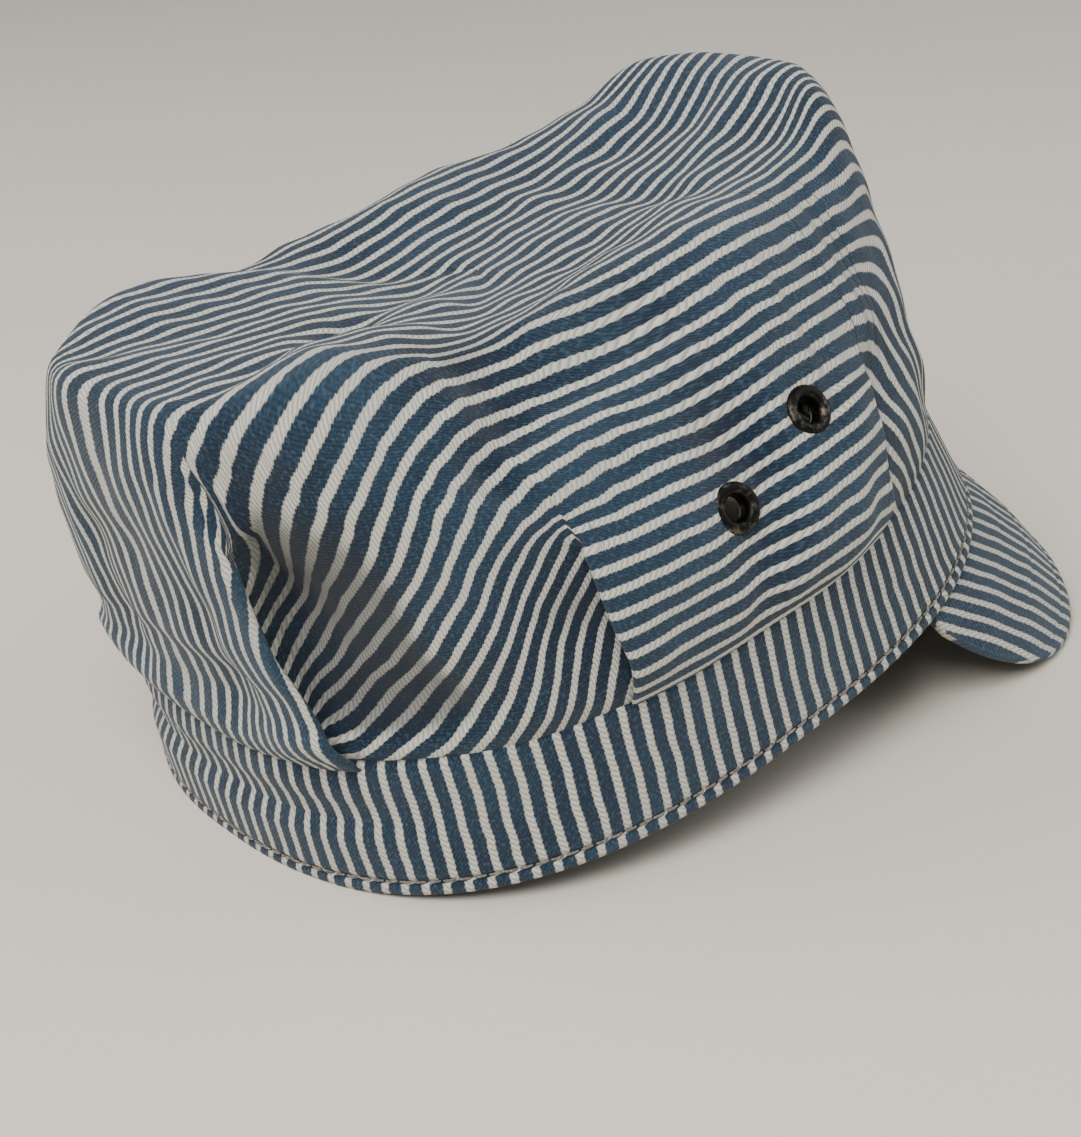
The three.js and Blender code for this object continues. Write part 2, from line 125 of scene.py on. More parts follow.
# How the stripes run over the crown, in a list for each stretch between two pleats. Each row is an
# angle, then the way across the stripes and the way along them at the sections in LEVELS. On the top
# the way across is TOP_SPREAD times x.
LEVELS = (0.0, 1.9, 3.15, 5.36, 7.73)
STRIPE_SEGMENTS = [
    [
        (0.0, (0, 0, 0, 0, 0), (-165, -154, -143, -120, -98)),
        (40.0, (62, 61, 61, 66, 50), (-150, -141, -131, -104, -80)),
        (75.0, (117, 108, 100, 84, 57), (-62, -70, -76, -72, -62)),
    ],
    [
        (75.0, (131, 119, 107, 83, 56), (-19, -20, -22, -26, -34)),
        (110.5, (132, 120, 108, 84, 57), (38, 38, 38, 36, 30)),
    ],
    [
        (110.5, (122, 118, 110, 86, 58), (75, 66, 58, 40, 30)),
        (130.0, (97, 90, 82, 62, 43), (98, 90, 82, 68, 58)),
        (150.0, (83, 72, 60, 41, 31), (118, 112, 106, 94, 86)),
    ],
    [
        (150.0, (52, 51, 49, 42, 31), (165, 154, 143, 120, 98)),
        (165.0, (27, 27, 27, 24, 18), (170, 159, 148, 123, 100)),
        (180.0, (0, 0, 0, 0, 0), (172, 161, 150, 125, 102)),
    ],
]
TOP_SPREAD = 1.05


def bell(x):
    """exp(-x^2): 1 at the middle, nearly 0 at twice the span."""
    return np.exp(-np.square(x))


def ease(x):
    """3x^2 - 2x^3 between 0 and 1, flat outside."""
    x = np.clip(x, 0.0, 1.0)
    return x * x * (3.0 - 2.0 * x)


def squared(value, square):
    """Signed power value^(2/square), which makes an oval squarer than an ellipse."""
    return np.sign(value) * np.abs(value) ** (2.0 / square)


def curve(x, places, values):
    """Cubic pieces through the values, whose slope at each place is the harmonic mean of the two
    chords beside it, or 0 where they turn; past both ends the value is held."""
    places, values = np.asarray(places, float), np.asarray(values, float)
    chord = np.diff(values) / np.diff(places)
    slope = np.concatenate([chord[:1], np.zeros(len(chord) - 1), chord[-1:]])
    before, after = chord[:-1], chord[1:]
    same = before * after > 0
    total = np.where(same, before + after, 1.0)
    slope[1:-1] = np.where(same, 2.0 * before * after / total, 0.0)
    x = np.clip(x, places[0], places[-1])
    i = np.clip(np.searchsorted(places, x, side="right") - 1, 0, len(chord) - 1)
    step = places[i + 1] - places[i]
    t = (x - places[i]) / step
    rest = 1.0 - t
    return (values[i] * rest * rest * (1.0 + 2.0 * t) + slope[i] * step * t * rest * rest
            + values[i + 1] * t * t * (3.0 - 2.0 * t) - slope[i + 1] * step * t * t * rest)


def unit(vectors):
    """Vectors divided by their lengths."""
    return vectors / np.maximum(np.linalg.norm(vectors, axis=-1, keepdims=True), 1e-9)


def stack(x, y, z):
    """Points from three arrays."""
    return np.stack(np.broadcast_arrays(x, y, z), axis=-1)


# Shapes of the cap with its hem level

def band_point(angle, rise):
    """Point of the band's face: an oval x = half width * sin^(2/n), y = -(reach - lean * rise) *
    cos^(2/n), narrower at the forehead, with z from the arched hem up to the seam."""
    c, s = np.cos(np.radians(angle)), np.sin(np.radians(angle))
    lean = np.where(c > 0, FRONT_LEAN, BACK_LEAN)
    turn = np.minimum(np.abs(angle) / VISOR_END, 1.0)
    low = FRONT_ARCH * np.cos(turn * np.pi / 2) ** 2
    taper = FOREHEAD_TAPER * c * (1 - rise) + SEAM_TAPER * np.maximum(c, 0) * rise
    x = BAND_HALF_WIDTH * squared(s, BAND_SQUARENESS) * (1 - taper)
    y = -(BAND_REACH - lean * rise) * squared(c, BAND_SQUARENESS)
    return stack(x, y, low + (BAND_HEIGHT - low) * rise)


def crown_point(angle, section):
    """Point of the crown before its folds: an oval whose rise, reaches and squareness follow
    CROWN_SECTIONS, swayed by TOP_HEIGHTS once it nears the rim."""
    places = np.arange(LAST_SECTION + 1)
    rise, side, front, back, square = (curve(section, places, CROWN_SECTIONS[:, k]) for k in range(5))
    c, s = np.cos(np.radians(angle)), np.sin(np.radians(angle))
    seam = np.where(section < RIM_SECTION, 1.0 - ease(rise / TAPER_TOP), 0.0)
    setback = 1.0 - (BAND_REACH - FRONT_LEAN) / CROWN_FRONT
    reach = np.where(c > 0, CROWN_FRONT * front * (1.0 - setback * seam), CROWN_BACK * back)
    y = -reach * squared(c, square)
    place = np.where(y < 0, y / CROWN_FRONT, y / CROWN_BACK)
    weight = np.where(section < RIM_SECTION, ease(rise * 1.15 - 0.15), 1.0)
    lift = RIM_SWAY * weight * curve(place, TOP_HEIGHTS[:, 0], TOP_HEIGHTS[:, 1])
    x = CROWN_HALF_WIDTH * side * (1.0 - SEAM_TAPER * np.maximum(c, 0) * seam) * squared(s, square)
    return stack(x, y, BAND_HEIGHT + SEAM_GAP + CROWN_RISE * rise + lift)


def crown_out(angle, section):
    """Outward direction of the crown, from differences over a degree and half a section; at the
    seam it is level."""
    low, high = np.maximum(section - 0.25, 0.0), np.minimum(section + 0.25, LAST_SECTION - 0.05)
    around = crown_point(angle + 0.5, section) - crown_point(angle - 0.5, section)
    up = crown_point(angle, high) - crown_point(angle, low)
    out = unit(np.cross(around, up))
    out[..., 2] *= ease(np.broadcast_to(section, out.shape[:-1]) * 2.0)
    return unit(out)


def rise_at(section):
    """Level of a section as a share of CROWN_RISE."""
    return curve(section, np.arange(LAST_SECTION + 1), CROWN_SECTIONS[:, 0])


def pleat_left(pleat, rise, section):
    """Share of a pleat that is left at a level: small in the seam, none past its top."""
    left = 1.0 - ease((rise / pleat["end"] - pleat["hold"]) / (1.0 - pleat["hold"]))
    left = left * (SEAM_SHARE + (1.0 - SEAM_SHARE) * ease(rise * SEAM_RATE))
    return np.where(section > RIM_SECTION, 0.0, left)


def leaning(angle, rise):
    """Angle that a column of cloth has at a level: the pleats beside it carry it along."""
    turn = np.abs(angle)
    shift = 0.0
    for p in PLEATS:
        level, span, sag = p["bow"]
        travel = (p["top"] - p["foot"]) * np.minimum(rise / p["end"], 1.0)
        travel = travel + sag * bell((rise - level) / span)
        shift = shift + travel * bell((turn - p["foot"]) / LEAN_SPAN)
    return np.where(angle < 0, -1.0, 1.0) * np.minimum(turn + shift, 180.0)


def dents_at(turn, rise, section):
    """Sum of the soft dents, each depth * bell in angle * bell in level."""
    height = np.where(section > RIM_SECTION, 1.0 + (section - RIM_SECTION) * TOP_STEP, rise)
    return sum(CREASE_DEPTH * depth * bell((turn - angle) / span) * bell((height - level) / reach)
               for angle, level, span, reach, depth in DENTS)


def folds(turn, rise, section):
    """Height of the cloth over the smooth crown: each pleat steps at its foot, dying away to both
    sides, and the dents are added."""
    off = dents_at(turn, rise, section)
    for p in PLEATS:
        off = off + PLEAT_DEPTH * pleat_left(p, rise, section) * pleat_height(p, turn, rise)
    return off


def softened(pleat, rise, rate=1.0):
    """Share of its softness that the edge of a pleat has at a level, gained at a rate."""
    low, high = pleat["sharp"]
    return ease(rate * (rise - low) / (high - low))


def gape(pleat, rise):
    """Depth of the cloth under a pleat's edge at a level, as a share of PLEAT_DEPTH."""
    level, span, depth = pleat["mouth"]
    return depth * bell((rise - level) / span)


def pleat_height(pleat, turn, rise):
    """Height of the cloth beside a pleat as a share of PLEAT_DEPTH: the cloth on top bends down
    from over, the cloth below rises from under; a softened edge is a slope between them."""
    past = (turn - pleat["foot"]) * pleat["lap"]
    over = pleat["over"] * bell(past / pleat["spans"][0])
    under = pleat["under"] * bell(past / pleat["spans"][1]) + gape(pleat, rise) * bell(past / GAPE_SPAN)
    on_top = ease(0.5 + past / (EDGE_SHARP + EDGE_SOFT * softened(pleat, rise)))
    return over * on_top - under * (1.0 - on_top)


def visor_width(u):
    """Width of the visor: VISOR_WIDTH * (1 - |u|^7)^0.83, which rounds its corners."""
    return VISOR_WIDTH * (1 - np.abs(u) ** 7) ** 0.83


def visor_columns(count):
    """Places along the hem, 0.985 * sin of even steps, which crowd toward the corners."""
    return 0.985 * np.sin(np.pi / 2 * np.linspace(-1, 1, count))


def visor_point(u, s):
    """Point of the visor's upper face: s runs along a ruling that fans and droops from the hem,
    with a crown of sin(pi s); u runs from -1 to 1 along the hem."""
    root = band_point(VISOR_END * u, 0.0)
    width = visor_width(u)
    droop = np.radians(VISOR_DROOP + (VISOR_SIDE_DROOP - VISOR_DROOP) * u * u)
    fan = np.radians(VISOR_FAN) * u
    out = width * s * np.cos(droop)
    inset = 1 - (BAND_WALL / 2) / np.linalg.norm(root, axis=-1)
    bow = VISOR_CROWN * np.sin(np.pi * s) * width / VISOR_WIDTH
    return stack(root[..., 0] * inset + np.sin(fan) * out,
                 root[..., 1] * inset - np.cos(fan) * out,
                 root[..., 2] - SEAM_GAP - width * s * np.sin(droop) + bow)


def visor_normal(u, s):
    """Outward direction of the visor, from differences along and across it."""
    along = visor_point(u + 0.004, s) - visor_point(u - 0.004, s)
    across = visor_point(u, s + 0.02) - visor_point(u, s - 0.02)
    return unit(np.cross(across, along))


# How the cap lies: up about the back of its hem until the visor's corners reach the surface

def rest_tilt():
    """Largest tilt asin(flat / reach) - atan2(z, ahead) over the points of the visor."""
    u = visor_columns(35)[:, None]
    s = np.linspace(0, 1, 7)[None, :]
    top = visor_point(u, s)
    points = np.concatenate([top, top - VISOR_WALL * visor_normal(u, s)])
    ahead, z = BAND_REACH - points[..., 1], points[..., 2]
    return float(np.max(np.arcsin(HEM_FLAT / np.hypot(ahead, z)) - np.arctan2(z, ahead)))


TILT = rest_tilt()


def turned(v):
    """A direction of the cap's own frame, tilted as the cap rests."""
    c, s = np.cos(TILT), np.sin(TILT)
    return stack(v[..., 0], v[..., 1] * c + v[..., 2] * s, -v[..., 1] * s + v[..., 2] * c)


def settle(points, centre=0.0):
    """Points as the cap rests: turned about the back of the hem, let down by HEM_FLAT, and pressed
    flat where they would pass the surface."""
    back = np.array([0.0, BAND_REACH, 0.0])
    laid = turned(np.asarray(points, float) - back) + back
    laid[..., 1] += centre
    laid[..., 2] = np.maximum(laid[..., 2] - HEM_FLAT, 0.0)
    return laid


front_edge = settle(visor_point(np.array(0.0), np.array(1.0)))[1]
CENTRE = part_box("visor")[0][1] / METRES - front_edge


# Camera at the photograph's angle: where it stands, its axes and its lens

def add_camera():
    """The camera in the cap's frame: azimuth and elevation from the side, rolled, then tilted
    with the cap. lens = focal length in pixels * sensor / picture height."""
    azimuth, elevation, roll = np.radians([31.4, 31.0, -15.6])
    distance, focal, picture = 528.0, 2291.0, 1137.0
    aim_right, aim_up = -0.01506, 0.02117
    ahead = np.array([np.cos(azimuth) * np.cos(elevation),
                      -np.sin(azimuth) * np.cos(elevation), -np.sin(elevation)])
    place = np.array([-np.cos(azimuth), np.sin(azimuth), 0.0]) * np.cos(elevation) * distance
    place[2] = np.sin(elevation) * distance
    level = np.array([-np.sin(azimuth), -np.cos(azimuth), 0.0])
    level_up = np.cross(level, ahead)
    right = level * np.cos(roll) + level_up * np.sin(roll)
    up = -level * np.sin(roll) + level_up * np.cos(roll)
    ahead = unit(ahead + aim_right * right + aim_up * up)
    right = unit(right - ahead * (right @ ahead))
    up = np.cross(right, ahead)
    axes = [turned(v) for v in (right, up, -ahead)]
    camera = bpy.data.objects.new("camera", bpy.data.cameras.new("camera"))
    camera.data.sensor_fit = "VERTICAL"
    camera.data.sensor_height = 36.0
    camera.data.lens = focal * 36.0 / picture
    camera.data.clip_start = 0.01
    matrix = Matrix([[*(axis[k] for axis in axes), 0.0] for k in range(3)] + [[0, 0, 0, 1]])
    matrix.translation = Vector(settle(place, CENTRE) * METRES)
    camera.matrix_world = matrix
    bpy.context.scene.collection.objects.link(camera)
    bpy.context.scene.camera = camera


add_camera()


# Meshes

MAP_UNIT = 100.0


def ring_faces(rows, count):
    """Quads from each ring in rows to the next one, on a grid whose columns close on themselves."""
    ring = np.arange(count)
    after = (ring + 1) % count
    low, high = rows[:-1, None] * count, rows[1:, None] * count
    return np.stack([low + ring, low + after, high + after, high + ring], -1).reshape(-1, 4)


def sheet_faces(rows, count):
    """Quads of an open grid."""
    i = np.arange(rows - 1)[:, None] * count + np.arange(count - 1)[None, :]
    return np.stack([i, i + 1, i + count + 1, i + count], -1).reshape(-1, 4)


def add_piece(name, node, slot, material, points, faces, cloth=None, wear_and_shade=None, around=None):
    """A mesh object from points in millimetres. cloth holds the way across and along the stripes
    at each point, kept in MAP_UNITs as the map named cloth; the values of real wear and of painted
    shade are kept as an attribute. around is the length after which the way across starts again,
    on a piece of quads that closes on itself."""
    mesh = bpy.data.meshes.new(name)
    mesh.from_pydata((points * METRES).tolist(), [], [f for group in faces for f in group.tolist()])
    if cloth is not None:
        corner = np.empty(len(mesh.loops), np.int32)
        mesh.loops.foreach_get("vertex_index", corner)
        ways = cloth[corner]
        if around:
            across = ways[:, 0].reshape(-1, 4)
            across[across.max(axis=1, keepdims=True) - across > around / 2] += around
        layer = mesh.uv_layers.new(name="cloth")
        layer.data.foreach_set("uv", (ways / MAP_UNIT).astype(np.float32).ravel())
    if wear_and_shade is not None:
        layer = mesh.attributes.new("wear_and_shade", "FLOAT", "POINT")
        layer.data.foreach_set("value", wear_and_shade.astype(np.float32).ravel())
    mesh.polygons.foreach_set("use_smooth", np.ones(len(mesh.polygons), bool))
    mesh.validate()
    mesh.materials.append(material)
    piece = bpy.data.objects.new(name, mesh)
    bpy.context.scene.collection.objects.link(piece)
    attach(piece, "root")
    if node:
        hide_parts(node)
    return piece


# Crown

# The edge of a pleat in profile, from the cloth below to the cloth on top: way under the edge as a
# share of the tuck and of the lip, then height as a share of the pocket and of the lip
PLEAT_PROFILE = np.array([
    (0.0, 0.0, 0.0, 0.0), (0.45, 0.0, 0.0, 0.0), (0.85, 0.0, 0.02, 0.0), (1.0, 0.0, 0.3, 0.0),
    (1.0, 0.0, 0.75, 0.0), (0.85, 0.0, 1.0, 0.0), (0.4, 0.3, 1.0, 0.0), (0.0, 0.55, 1.0, 0.0),
    (0.0, 0.16, 1.0, 0.16), (0.0, 0.0, 1.0, 0.5), (0.0, 0.16, 1.0, 0.84), (0.0, 0.55, 1.0, 1.0),
    (0.0, 1.3, 1.0, 1.0),
])
LIP = 2.4

# In degrees: the step of the plain columns, the room that an edge takes of the cloth below and of
# the cloth on top, and how far beside it the stripes' slope is taken; then millimetres to a degree
COLUMN_STEP, BELOW_ROOM, ABOVE_ROOM, EDGE_SLOPE = 0.85, 0.9, 2.7, 6.0
SIDE_DEGREE = 1.55

# The seam sewn round the rim in front and behind: its height, section and span
RIM_PINCH, PINCH_SECTION, PINCH_SPAN = 1.6, 9.2, 0.7
# Soft unevenness: seed of its draws, size and height; none within about EYELET_QUIET of an eyelet
CROWN_WRINKLES = [(5, 34.0, 0.65), (9, 14.0, 0.28)]
EYELET_QUIET = 7.5

# Rings of both walls, how far they reach in and down behind the band, and the height that rubs
# the cloth palest, which as a depth in a fold also gives the darkest painted shade
OUTER_RINGS, INNER_RINGS, TUCKED_IN, TUCKED_DOWN, WEAR_AND_SHADE_HEIGHT = 122, 26, 1.5, 1.3, 6.0
# Room under the lowest cloth, and how deep and how wide the inner wall lies behind a tuck
INNER_GAP, INNER_SHARE, INNER_SPAN = 0.6, 0.6, 14.0
# How a tuck tapers up the side: share lost, share of the sharp edge before it, levels that it takes.
# Then the step over which an edge grows full, and the rate at which it turns plain
TUCK_LOSS, TUCK_HOLD, TUCK_FADE, FULL_STEP, PLAIN_RATE = 0.75, 0.55, 0.35, 2.5, 2.5


def half_columns():
    """Columns from the front to the back: their angles, and for those in the edge of a pleat the
    pleat and the row of PLEAT_PROFILE."""
    turns, owners, rows = [], [], []
    start = 0.0
    for i, p in enumerate(PLEATS):
        before, behind = (BELOW_ROOM, ABOVE_ROOM)[::p["lap"]]
        near, far = p["foot"] - before, p["foot"] + behind
        plain = np.linspace(start, near, max(2, round((near - start) / COLUMN_STEP)))
        plain = plain if start == 0.0 else plain[1:]
        order = np.arange(len(PLEAT_PROFILE))
        turns += [*plain, *np.linspace(near + 0.2, far - 0.2, len(order))]
        owners += [-1] * len(plain) + [i] * len(order)
        rows += [0] * len(plain) + list(order if p["lap"] > 0 else order[::-1])
        start = far
    plain = np.linspace(start, 180.0, round((180.0 - start) / COLUMN_STEP))
    turns, owners, rows = [*turns, *plain], owners + [-1] * len(plain), rows + [0] * len(plain)
    return np.array(turns), np.array(owners), np.array(rows)


def whole_round(values, sign=1):
    """A half's values carried round the other side, from the front by the left to the back."""
    return np.concatenate([values, values[-2:0:-1] * sign])


def profile_ways(p):
    """Way of each row of a pleat's profile round its fold in millimetres, counted from the cloth
    below and from the cloth on top."""
    step = PLEAT_DEPTH * (p["over"] + p["under"])
    lip = min(LIP, 0.5 * step)
    x = p["tuck"] * PLEAT_PROFILE[:, 0] + lip * PLEAT_PROFILE[:, 1]
    y = (step - lip) * PLEAT_PROFILE[:, 2] + lip * PLEAT_PROFILE[:, 3]
    way = np.concatenate([[0.0], np.cumsum(np.hypot(np.diff(x), np.diff(y)))])
    return way, way[-1] - way - x[-1]


def stripe_ways(turn, owner, row, section):
    """Way across and along the stripes at each column and section: curves through STRIPE_SEGMENTS
    within each segment between pleats, then up the side, then the cloth's own plan on the top.
    Round the edge of a pleat each way goes on at the slope that it has beside the edge."""
    knots = (*LEVELS, RIM_SECTION)
    feet = [0.0, *(p["foot"] for p in PLEATS), 180.0]
    # The segment of a column; the profile's cloth on top belongs to the side that lies over
    segment = np.searchsorted(feet[1:-1], turn)
    for i, p in enumerate(PLEATS):
        mine = owner == i
        on_top = PLEAT_PROFILE[row, 2] >= 1.0
        segment[mine] = np.where(on_top[mine] == (p["lap"] > 0), i + 1, i)
    ways = []
    rim = crown_point(leaning(turn, 1.0), np.full_like(turn, RIM_SECTION))
    for k, at_rim in ((1, TOP_SPREAD * np.abs(rim[:, 0])), (2, rim[:, 1])):
        levels = np.zeros((len(knots), len(turn)))
        levels[-1] = at_rim
        for s, rows in enumerate(STRIPE_SEGMENTS):
            mine = segment == s
            places = [r[0] for r in rows]
            for level in range(len(LEVELS)):
                values = [r[k][level] for r in rows]
                levels[level, mine] = curve(turn[mine], places, values)
                for i in {s - 1, s} & set(range(len(PLEATS))):
                    p = PLEATS[i]
                    edge = mine & (owner == i)
                    away = EDGE_SLOPE if i == s - 1 else -EDGE_SLOPE
                    at_edge, near = curve(np.array([p["foot"], p["foot"] + away]), places, values)
                    slope = (near - at_edge) / (EDGE_SLOPE * SIDE_DEGREE)
                    below, above = profile_ways(p)
                    on_top = (i == s - 1) == (p["lap"] > 0)
                    height = np.interp(LEVELS[level], np.arange(len(CROWN_SECTIONS)), CROWN_SECTIONS[:, 0])
                    left = pleat_left(p, height, LEVELS[level])
                    run = (above if on_top else below)[row[edge]]
                    levels[level, edge] = at_edge - slope * run * left
        way = np.stack([curve(section, knots, levels[:, c]) for c in range(len(turn))], axis=1)
        ways.append(evened(turn, way, section, -1.0 if k == 1 else 1.0))
    return ways


# Angles over which a way is evened out, how far a pleat keeps the ways apart, how strongly, and over
# how many sections below the rim the evening dies away
EVEN_ANGLES, PART_SPAN, PART_RATE, EVEN_FADE = (-12, -8, -4, 0, 4, 8, 12), 22.0, 1.6, 2.0


def evened(turn, way, section, mirror):
    """A way evened out round the crown where no pleat parts the cloth: the mean of the way at
    several angles each side, less where a pleat is left. mirror is -1 for a way that changes sign
    from one side of the cap to the other."""
    half = np.argmax(turn) + 1
    place = turn[:half]
    wide = np.concatenate([-place[:0:-1], place, 360.0 - place[-2::-1]])
    rise = rise_at(section)[:, None]
    parted = np.max([pleat_left(p, np.maximum(rise, 0.2), section[:, None])
                     * bell((place - p["foot"]) / PART_SPAN) for p in PLEATS], axis=0)
    share = ease(1.0 - PART_RATE * parted) * ease((RIM_SECTION - section[:, None]) / EVEN_FADE)
    result = way.copy()
    for i, line in enumerate(way[:, :half]):
        across = np.concatenate([mirror * line[:0:-1], line, mirror * line[-2::-1]])
        mean = np.mean([np.interp(place + d, wide, across) for d in EVEN_ANGLES], axis=0)
        line = line + (mean - line) * share[i]
        result[i, :half] = line
        result[i, half:] = line[-2:0:-1]
    return result


def wrinkles(points, seed, size, count):
    """Soft unevenness of cloth: the mean of count sine waves in seeded directions, each about size
    long, over the points."""
    rng = np.random.default_rng(seed)
    total = np.zeros(points.shape[:-1])
    for _ in range(count):
        way = unit(rng.normal(size=3)) * 2 * np.pi / (size * rng.uniform(0.7, 1.5))
        total += np.sin(points @ way + rng.uniform(0, 2 * np.pi))
    return total / np.sqrt(count)


def eyelet_seat(angle, rise):
    """Point and outward direction of an eyelet on the cap with its hem level."""
    places = CROWN_SECTIONS[:RIM_SECTION, 0]
    section = np.array(np.interp(rise, places, np.arange(RIM_SECTION)))
    column = leaning(np.array(angle), rise)
    out = crown_out(column, section)
    off = folds(np.abs(np.array(angle)), rise, section) - EYELET_SINK
    return crown_point(column, section) + out * off, out


SEATS = {f"eyelet_{side}_{name}": eyelet_seat(sign * angle, rise)
         for side, sign in (("right", -1), ("left", 1)) for name, (angle, rise) in EYELETS.items()}


# Pressed and slept-in creases of the side: angle and level of both ends, half width and height in
# millimetres, a valley where the height is negative
SIDE_CREASES = [
    (90, 0.78, 92, 0.56, 3.6, -1.9), (92, 0.56, 90.5, 0.42, 2.8, -2.2),
    (90.5, 0.42, 93, 0.1, 3.4, -1.5),
    (87, 0.72, 88, 0.3, 4.0, 1.2), (96, 0.6, 97, 0.2, 5.0, 1.2), (79, 0.45, 83, 0.1, 5.0, 1.1),
    (112, 0.58, 114.5, 0.69, 3.6, -1.6), (114.5, 0.69, 108, 0.76, 3.8, -1.7),
    (108, 0.76, 97.5, 0.84, 4.2, -1.6), (97.5, 0.84, 92, 0.9, 5.0, -1.0),
    (104, 0.68, 97, 0.76, 4.5, 1.3), (121, 0.66, 113, 0.84, 5.0, 1.5),
    (121, 0.1, 126, 0.5, 6.0, 0.9), (134, 0.12, 140, 0.45, 5.0, -1.0),
    (160, 0.2, 163, 0.7, 5.0, 0.8), (170, 0.15, 168, 0.5, 5.0, -0.8),
    (153, 0.13, 182, 0.15, 3.0, 1.6), (153, 0.04, 182, 0.045, 1.6, -1.3),
    (155, 0.24, 182, 0.27, 3.0, -1.0),
    (40, 0.1, 47, 0.45, 5.0, 0.9), (20, 0.05, 26, 0.6, 6.0, -0.9), (8, 0.1, 4, 0.5, 6.0, 0.7),
]

# Creases of the top: x and y of both ends, half width and height, all in millimetres
TOP_CREASES = [
    (-30, 88, -12, 40, 4.0, -1.6), (-12, 40, 4, 12, 5.0, -1.2), (-44, 60, -20, 58, 5.0, 1.0),
    (-40, 20, -18, -18, 6.0, -1.2), (-30, -30, -8, -66, 6.0, 1.2), (10, -20, 26, -58, 5.0, 1.0),
    (-22, -40, 18, -34, 5.0, -1.4), (24, 40, 36, 74, 5.0, -1.0), (0, 60, 8, 86, 4.0, 0.8),
]


def crease_sum(x, y, creases):
    """Sum over the creases of height * bell(distance to the line / width), tapering to its ends."""
    total = 0.0
    for x0, y0, x1, y1, width, height in creases:
        length = np.hypot(x1 - x0, y1 - y0)
        along = ((x - x0) * (x1 - x0) + (y - y0) * (y1 - y0)) / length
        across = ((x - x0) * (y1 - y0) - (y - y0) * (x1 - x0)) / length
        past = np.maximum(np.maximum(-along, along - length), 0.0)
        total = total + height * bell(across / width) * bell(past / (1.6 * width))
    return total


def lining_height(turn, rise, section):
    """Height of the crown's inner wall: CROWN_WALL and a little more under the lowest cloth near
    it, and deeper behind the tucks."""
    near = [folds(turn + step, rise, section) for step in np.arange(-15.0, 16.0, 3.0)]
    off = np.min(near, axis=0) - CROWN_WALL - INNER_GAP
    for p in PLEATS:
        behind = INNER_SHARE * p["tuck"] * bell((turn - p["foot"]) / INNER_SPAN)
        off = off - pleat_left(p, rise, section) * behind
    return off


def fold_edge(p, off, angle, mine, turn, side, row, rise, section):
    """Lays the columns in the edge of a pleat, in place, along PLEAT_PROFILE: its ways under the
    edge turn their angle, and its heights stand on the cloth below. The tuck tapers up the side,
    and where the edge has softened the columns stay in their plain places."""
    tuck, lip_way, pocket, lip_up = PLEAT_PROFILE[row].T
    left = pleat_left(p, rise, section)
    depth = PLEAT_DEPTH * left
    full = ease(depth * (p["over"] + p["under"]) / FULL_STEP)
    tapered = 1.0 - TUCK_LOSS * ease((rise - TUCK_HOLD * p["sharp"][0]) / TUCK_FADE)
    reach = (p["tuck"] * tuck * tapered + LIP * lip_way) * full
    over = p["over"] * bell(reach / SIDE_DEGREE / p["spans"][0])
    under = p["under"] + gape(p, rise)
    step = depth * (over + under)
    lip = np.minimum(LIP, 0.5 * step)
    low = off[:, mine] - depth * (pleat_height(p, turn, rise) + under)
    hard = 1.0 - softened(p, rise, PLAIN_RATE)
    off[:, mine] += hard * (low + (step - lip) * pocket + lip * lip_up - off[:, mine])
    degree = np.linalg.norm(crown_point(angle[:, mine] + 0.5, section)
                            - crown_point(angle[:, mine] - 0.5, section), axis=-1)
    past = (turn - p["foot"]) * p["lap"]
    angle[:, mine] += hard * side * p["lap"] * (reach / degree - past)


def crown_cloth(turn, side, owner, row, section, inner):
    """Points of one wall of the crown, their heights over the smooth crown and its plan. The wall
    is the smooth crown plus folds and creases along its outward direction."""
    section = section[:, None]
    rise = rise_at(section)
    angle = leaning(turn * side, np.where(section > RIM_SECTION, 1.0, rise))
    if inner:
        off = lining_height(turn, rise, section)
    else:
        off = folds(turn, rise, section)
        for i, p in enumerate(PLEATS):
            mine = owner == i
            fold_edge(p, off, angle, mine, turn[mine], side[mine], row[mine], rise, section)
    smooth = crown_point(angle, section)
    side_creases = [(SIDE_DEGREE * a, CROWN_RISE * b, SIDE_DEGREE * c, CROWN_RISE * d, w, h)
                    for a, b, c, d, w, h in SIDE_CREASES]
    up_side = 1.0 - ease((section - RIM_SECTION + 1.5) / 1.5)
    fine = up_side * crease_sum(SIDE_DEGREE * turn, CROWN_RISE * rise, side_creases)
    fine = fine + (1.0 - up_side) * crease_sum(smooth[..., 0], smooth[..., 1], TOP_CREASES)
    for seed, size, height in CROWN_WRINKLES:
        fine = fine + height * wrinkles(smooth, seed, size, 9)
    ends = np.maximum(bell(turn / 55.0), bell((180.0 - turn) / 32.0))
    fine = fine + RIM_PINCH * bell((section - PINCH_SECTION) / PINCH_SPAN) * ends
    # All this is held back in the seam and beside the eyelets
    quiet = ease(rise * 9.0)
    for point, _ in SEATS.values():
        quiet = quiet * (1.0 - bell(np.linalg.norm(smooth - point, axis=-1) / EYELET_QUIET))
    off = off + fine * quiet
    return smooth + crown_out(angle, section) * off[..., None], off, smooth[..., :2]


